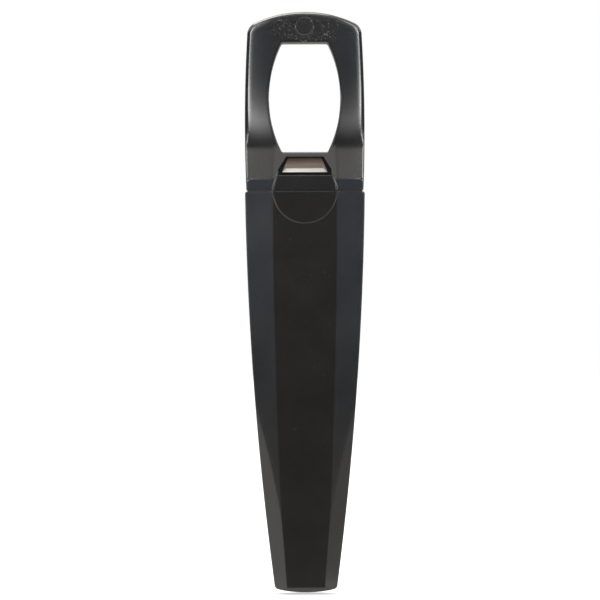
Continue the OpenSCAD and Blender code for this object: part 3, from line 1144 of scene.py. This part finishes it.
# What the side facets see: a brighter room with a bluish band at the object's own height
SIDE_ROOM = (
    (-90, 1.7, WARM), (-30, 1.6, WARM), (-22, 1.3, WARM), (-15, 0.5, PLAIN), (-9, 0.28, PLAIN),
    (-6.5, 0.26, COOL), (-2.2, 0.2, COOL), (-0.5, 0.36, COOL), (0.8, 1.6, PALE), (2.0, 1.5, PALE),
    (2.8, 0.14, COOL), (6, 0.16, COOL), (12, 0.12, PLAIN), (22, 0.0, PLAIN), (37.5, 0.0, PLAIN),
    (41, 1.33, WARM), (60, 1.3, WARM), (90, 1.8, WARM),
)
# Share of the side room, round the whole circle
SIDE_SHARE = (
    (-180, 0.0), (-155, 0.1), (-140, 0.55), (-110, 0.45), (-90, 1.0), (-62, 1.0), (-40, 0.85), (-32, 0.6),
    (-22, 0.08), (0, 0.0), (22, 0.08), (32, 0.6), (40, 0.85), (48, 0.8), (56, 0.18), (75, 0.3), (110, 0.3),
    (140, 0.4), (155, 0.1), (180, 0.0),
)
# The key light, broad and mostly from the left
KEY_ACROSS = (
    (-80, 0.0), (-66, 1.3), (-56, 1.4), (-49, 1.25), (-40, 0.72), (-33, 0.28), (-26, 0.15), (0, 0.08),
    (26, 0.15), (40, 0.32), (49, 0.6), (60, 0.8), (70, 0.3), (80, 0.0),
)
KEY_UP = (
    (2, 0.0), (4, 0.01), (6, 0.07), (8, 0.14), (11, 0.22), (14.6, 0.4), (16.7, 0.8),
    (18.7, 1.0), (21, 0.6), (23.6, 0.26), (26, 0.02), (27, 0.0),
)
KEY_GLOW = 8.2
# A strip light on each side, in a lower and an upper length
STRIP_ACROSS = ((-78, 0.0), (-74, 0.8), (-54, 0.8), (-49, 0.0), (49, 0.0), (54, 1.0), (74, 1.0), (78, 0.0))
STRIP_UP = (
    (-6, 0.0), (0, 0.16), (3, 0.03), (5, 0.03), (6, 0.12), (8, 0.4), (14, 0.8), (21, 1.0), (24, 0.6),
    (26.5, 0.1), (28, 0.0), (38, 0.0), (43, 0.9), (50, 0.9), (55, 0.15), (62, 0.0),
)
STRIP_GLOW = 15
# The brightest that a profile may be
PROFILE_MAX = 2.0
# Directions to the side and behind count as this far ahead when their height is worked out.
LEAST_AHEAD = 0.3

FLOOR_HALF_W = 3
FLOOR_DROP = 0.0005
FLOOR_GREY = (0.4, 0.4, 0.4, 1)
FLOOR_GLOW = 0.5


def add_floor():
    """A plain white floor, which the gloss doesn't show."""
    bm = bmesh.new()
    bmesh.ops.create_grid(bm, x_segments=8, y_segments=8, size=FLOOR_HALF_W)
    mesh = bpy.data.meshes.new("floor")
    bm.to_mesh(mesh)
    bm.free()
    obj = bpy.data.objects.new("floor", mesh)
    obj.location.z = cad_bounds[0][2] - FLOOR_DROP
    obj.visible_glossy = False
    bpy.context.scene.collection.objects.link(obj)
    n = Nodes(bpy.data.materials.new("floor_white"))
    n.shader.inputs["Base Color"].default_value = FLOOR_GREY
    n.shader.inputs["Roughness"].default_value = 0.9
    n.shader.inputs["Emission Color"].default_value = (1, 1, 1, 1)
    n.shader.inputs["Emission Strength"].default_value = FLOOR_GLOW
    mesh.materials.append(n.owner)


APRON_R = 0.12
APRON_DROP = 0.0003
APRON_COLOUR = (1.0, 0.98, 0.95, 1)
APRON_GLOW = 1.8
# Share of the glow by distance from the tip, over APRON_R: the table is in shade right under it.
APRON_SHARE = ((0.0, 0.0), (0.08, 0.1), (0.115, 0.9), (0.14, 0.9), (0.2, 0.22), (0.35, 0.07), (1.0, 0.0))
# Share of the glow by distance to either side, over APRON_R: the front panel sees the dim middle.
APRON_SIDES = ((0.0, 0.0), (0.055, 0.0), (0.085, 1.0))


def add_apron():
    """The bright patch of table close round the tip, which only shows in the gloss."""
    bm = bmesh.new()
    bmesh.ops.create_circle(bm, cap_ends=True, segments=64, radius=APRON_R)
    mesh = bpy.data.meshes.new("apron")
    bm.to_mesh(mesh)
    bm.free()
    obj = bpy.data.objects.new("apron", mesh)
    obj.location.z = cad_bounds[0][2] - APRON_DROP
    obj.visible_camera = False
    obj.visible_diffuse = False
    obj.visible_shadow = False
    bpy.context.scene.collection.objects.link(obj)
    n = Nodes(bpy.data.materials.new("apron_glow"))
    away = n.tree.nodes.new("ShaderNodeVectorMath")
    away.operation = "LENGTH"
    n.link(n.place, away.inputs[0])
    round_tip = n.ramp(n.math("DIVIDE", away.outputs["Value"], APRON_R), APRON_SHARE)
    sideways = n.math("DIVIDE", n.math("ABSOLUTE", n.split(n.place)[0]), APRON_R)
    share = n.vector_math("MULTIPLY", round_tip, n.ramp(sideways, APRON_SIDES))
    glow = n.add("ShaderNodeEmission")
    glow.inputs["Color"].default_value = APRON_COLOUR
    glow.inputs["Strength"].default_value = APRON_GLOW
    clear = n.add("ShaderNodeBsdfTransparent")
    blend = n.add("ShaderNodeMixShader", Fac=share)
    n.link(clear.outputs[0], blend.inputs[1])
    n.link(glow.outputs[0], blend.inputs[2])
    n.link(blend.outputs[0], n.tree.nodes["Material Output"].inputs["Surface"])
    mesh.materials.append(n.owner)


def add_world():
    """The room round the object, with the key light and the strips. The camera itself sees plain white."""
    world = bpy.data.worlds.new("studio")
    bpy.context.scene.world = world
    n = Nodes(world)
    x, y, z = n.split(n.coordinates["Generated"])
    ahead = n.math("MULTIPLY", y, -1.0)
    pitch = n.math("ARCTAN2", z, n.math("MAXIMUM", ahead, LEAST_AHEAD))
    across = n.math("ARCTAN2", x, ahead)

    def profile(angle, stops):
        """The profile's brightness at an angle, over PROFILE_MAX."""
        turn = n.math("MULTIPLY_ADD", angle, 1 / (2 * pi), 0.5)
        ramp = []
        for stop_degrees, brightness, *tint in stops:
            colour = [c * brightness / PROFILE_MAX for c in (tint[0] if tint else PLAIN)]
            ramp.append((stop_degrees / 360 + 0.5, colour))
        return n.ramp(turn, ramp)

    side_share = n.scaled(profile(across, SIDE_SHARE), PROFILE_MAX)
    room = n.mix(side_share, profile(pitch, FRONT_ROOM), profile(pitch, SIDE_ROOM))
    key = n.times(profile(across, KEY_ACROSS), profile(pitch, KEY_UP), KEY_GLOW * PROFILE_MAX)
    strips = n.times(profile(across, STRIP_ACROSS), profile(pitch, STRIP_UP), STRIP_GLOW * PROFILE_MAX)
    total = n.vector_math("ADD", n.vector_math("ADD", room, key), strips)
    lit = n.vector_math("MULTIPLY", total, (PROFILE_MAX,) * 3)
    camera_ray = n.add("ShaderNodeLightPath").outputs["Is Camera Ray"]
    background = n.tree.nodes["Background"]
    n.link(n.mix(camera_ray, lit, (1, 1, 1)), background.inputs["Color"])


# The light overhead, behind the object and to its left: its turn to the right of the camera, and its height
OVERHEAD_TURN = radians(-120)
OVERHEAD_RISE = radians(72)
OVERHEAD_SIZE = (0.5, 1.1)
OVERHEAD_DISTANCE = 1.0
OVERHEAD_GLOW = 10
OVERHEAD_COLOUR = (1, 0.97, 0.92)


def add_overhead_light():
    """A rectangular light that aims at the object and has a given brightness in its reflections."""
    data = bpy.data.lights.new("overhead", "AREA")
    data.shape = "RECTANGLE"
    data.size, data.size_y = OVERHEAD_SIZE
    data.energy = OVERHEAD_GLOW * pi * data.size * data.size_y
    data.color = OVERHEAD_COLOUR
    obj = bpy.data.objects.new("overhead", data)
    ahead = cos(OVERHEAD_TURN) * cos(OVERHEAD_RISE)
    away = Vector((sin(OVERHEAD_TURN) * cos(OVERHEAD_RISE), -ahead, sin(OVERHEAD_RISE)))
    obj.location = VIEW_MIDDLE + away * OVERHEAD_DISTANCE
    obj.rotation_euler = away.to_track_quat("Z", "Y").to_euler()
    bpy.context.scene.collection.objects.link(obj)


def add_camera():
    """A level camera in front of the object, with a long lens and the photo's slight roll."""
    data = bpy.data.cameras.new("camera")
    data.sensor_width = SENSOR
    data.lens = SENSOR * VIEW_DISTANCE / VIEW_HEIGHT
    data.clip_start = 0.05
    data.clip_end = 50
    obj = bpy.data.objects.new("camera", data)
    obj.location = VIEW_MIDDLE + Vector((0, -VIEW_DISTANCE, 0))
    obj.rotation_euler = (pi / 2, ROLL, 0)
    bpy.context.scene.collection.objects.link(obj)
    bpy.context.scene.camera = obj


bpy.context.scene.view_settings.view_transform = "Standard"
add_floor()
add_apron()
add_world()
add_overhead_light()
add_camera()
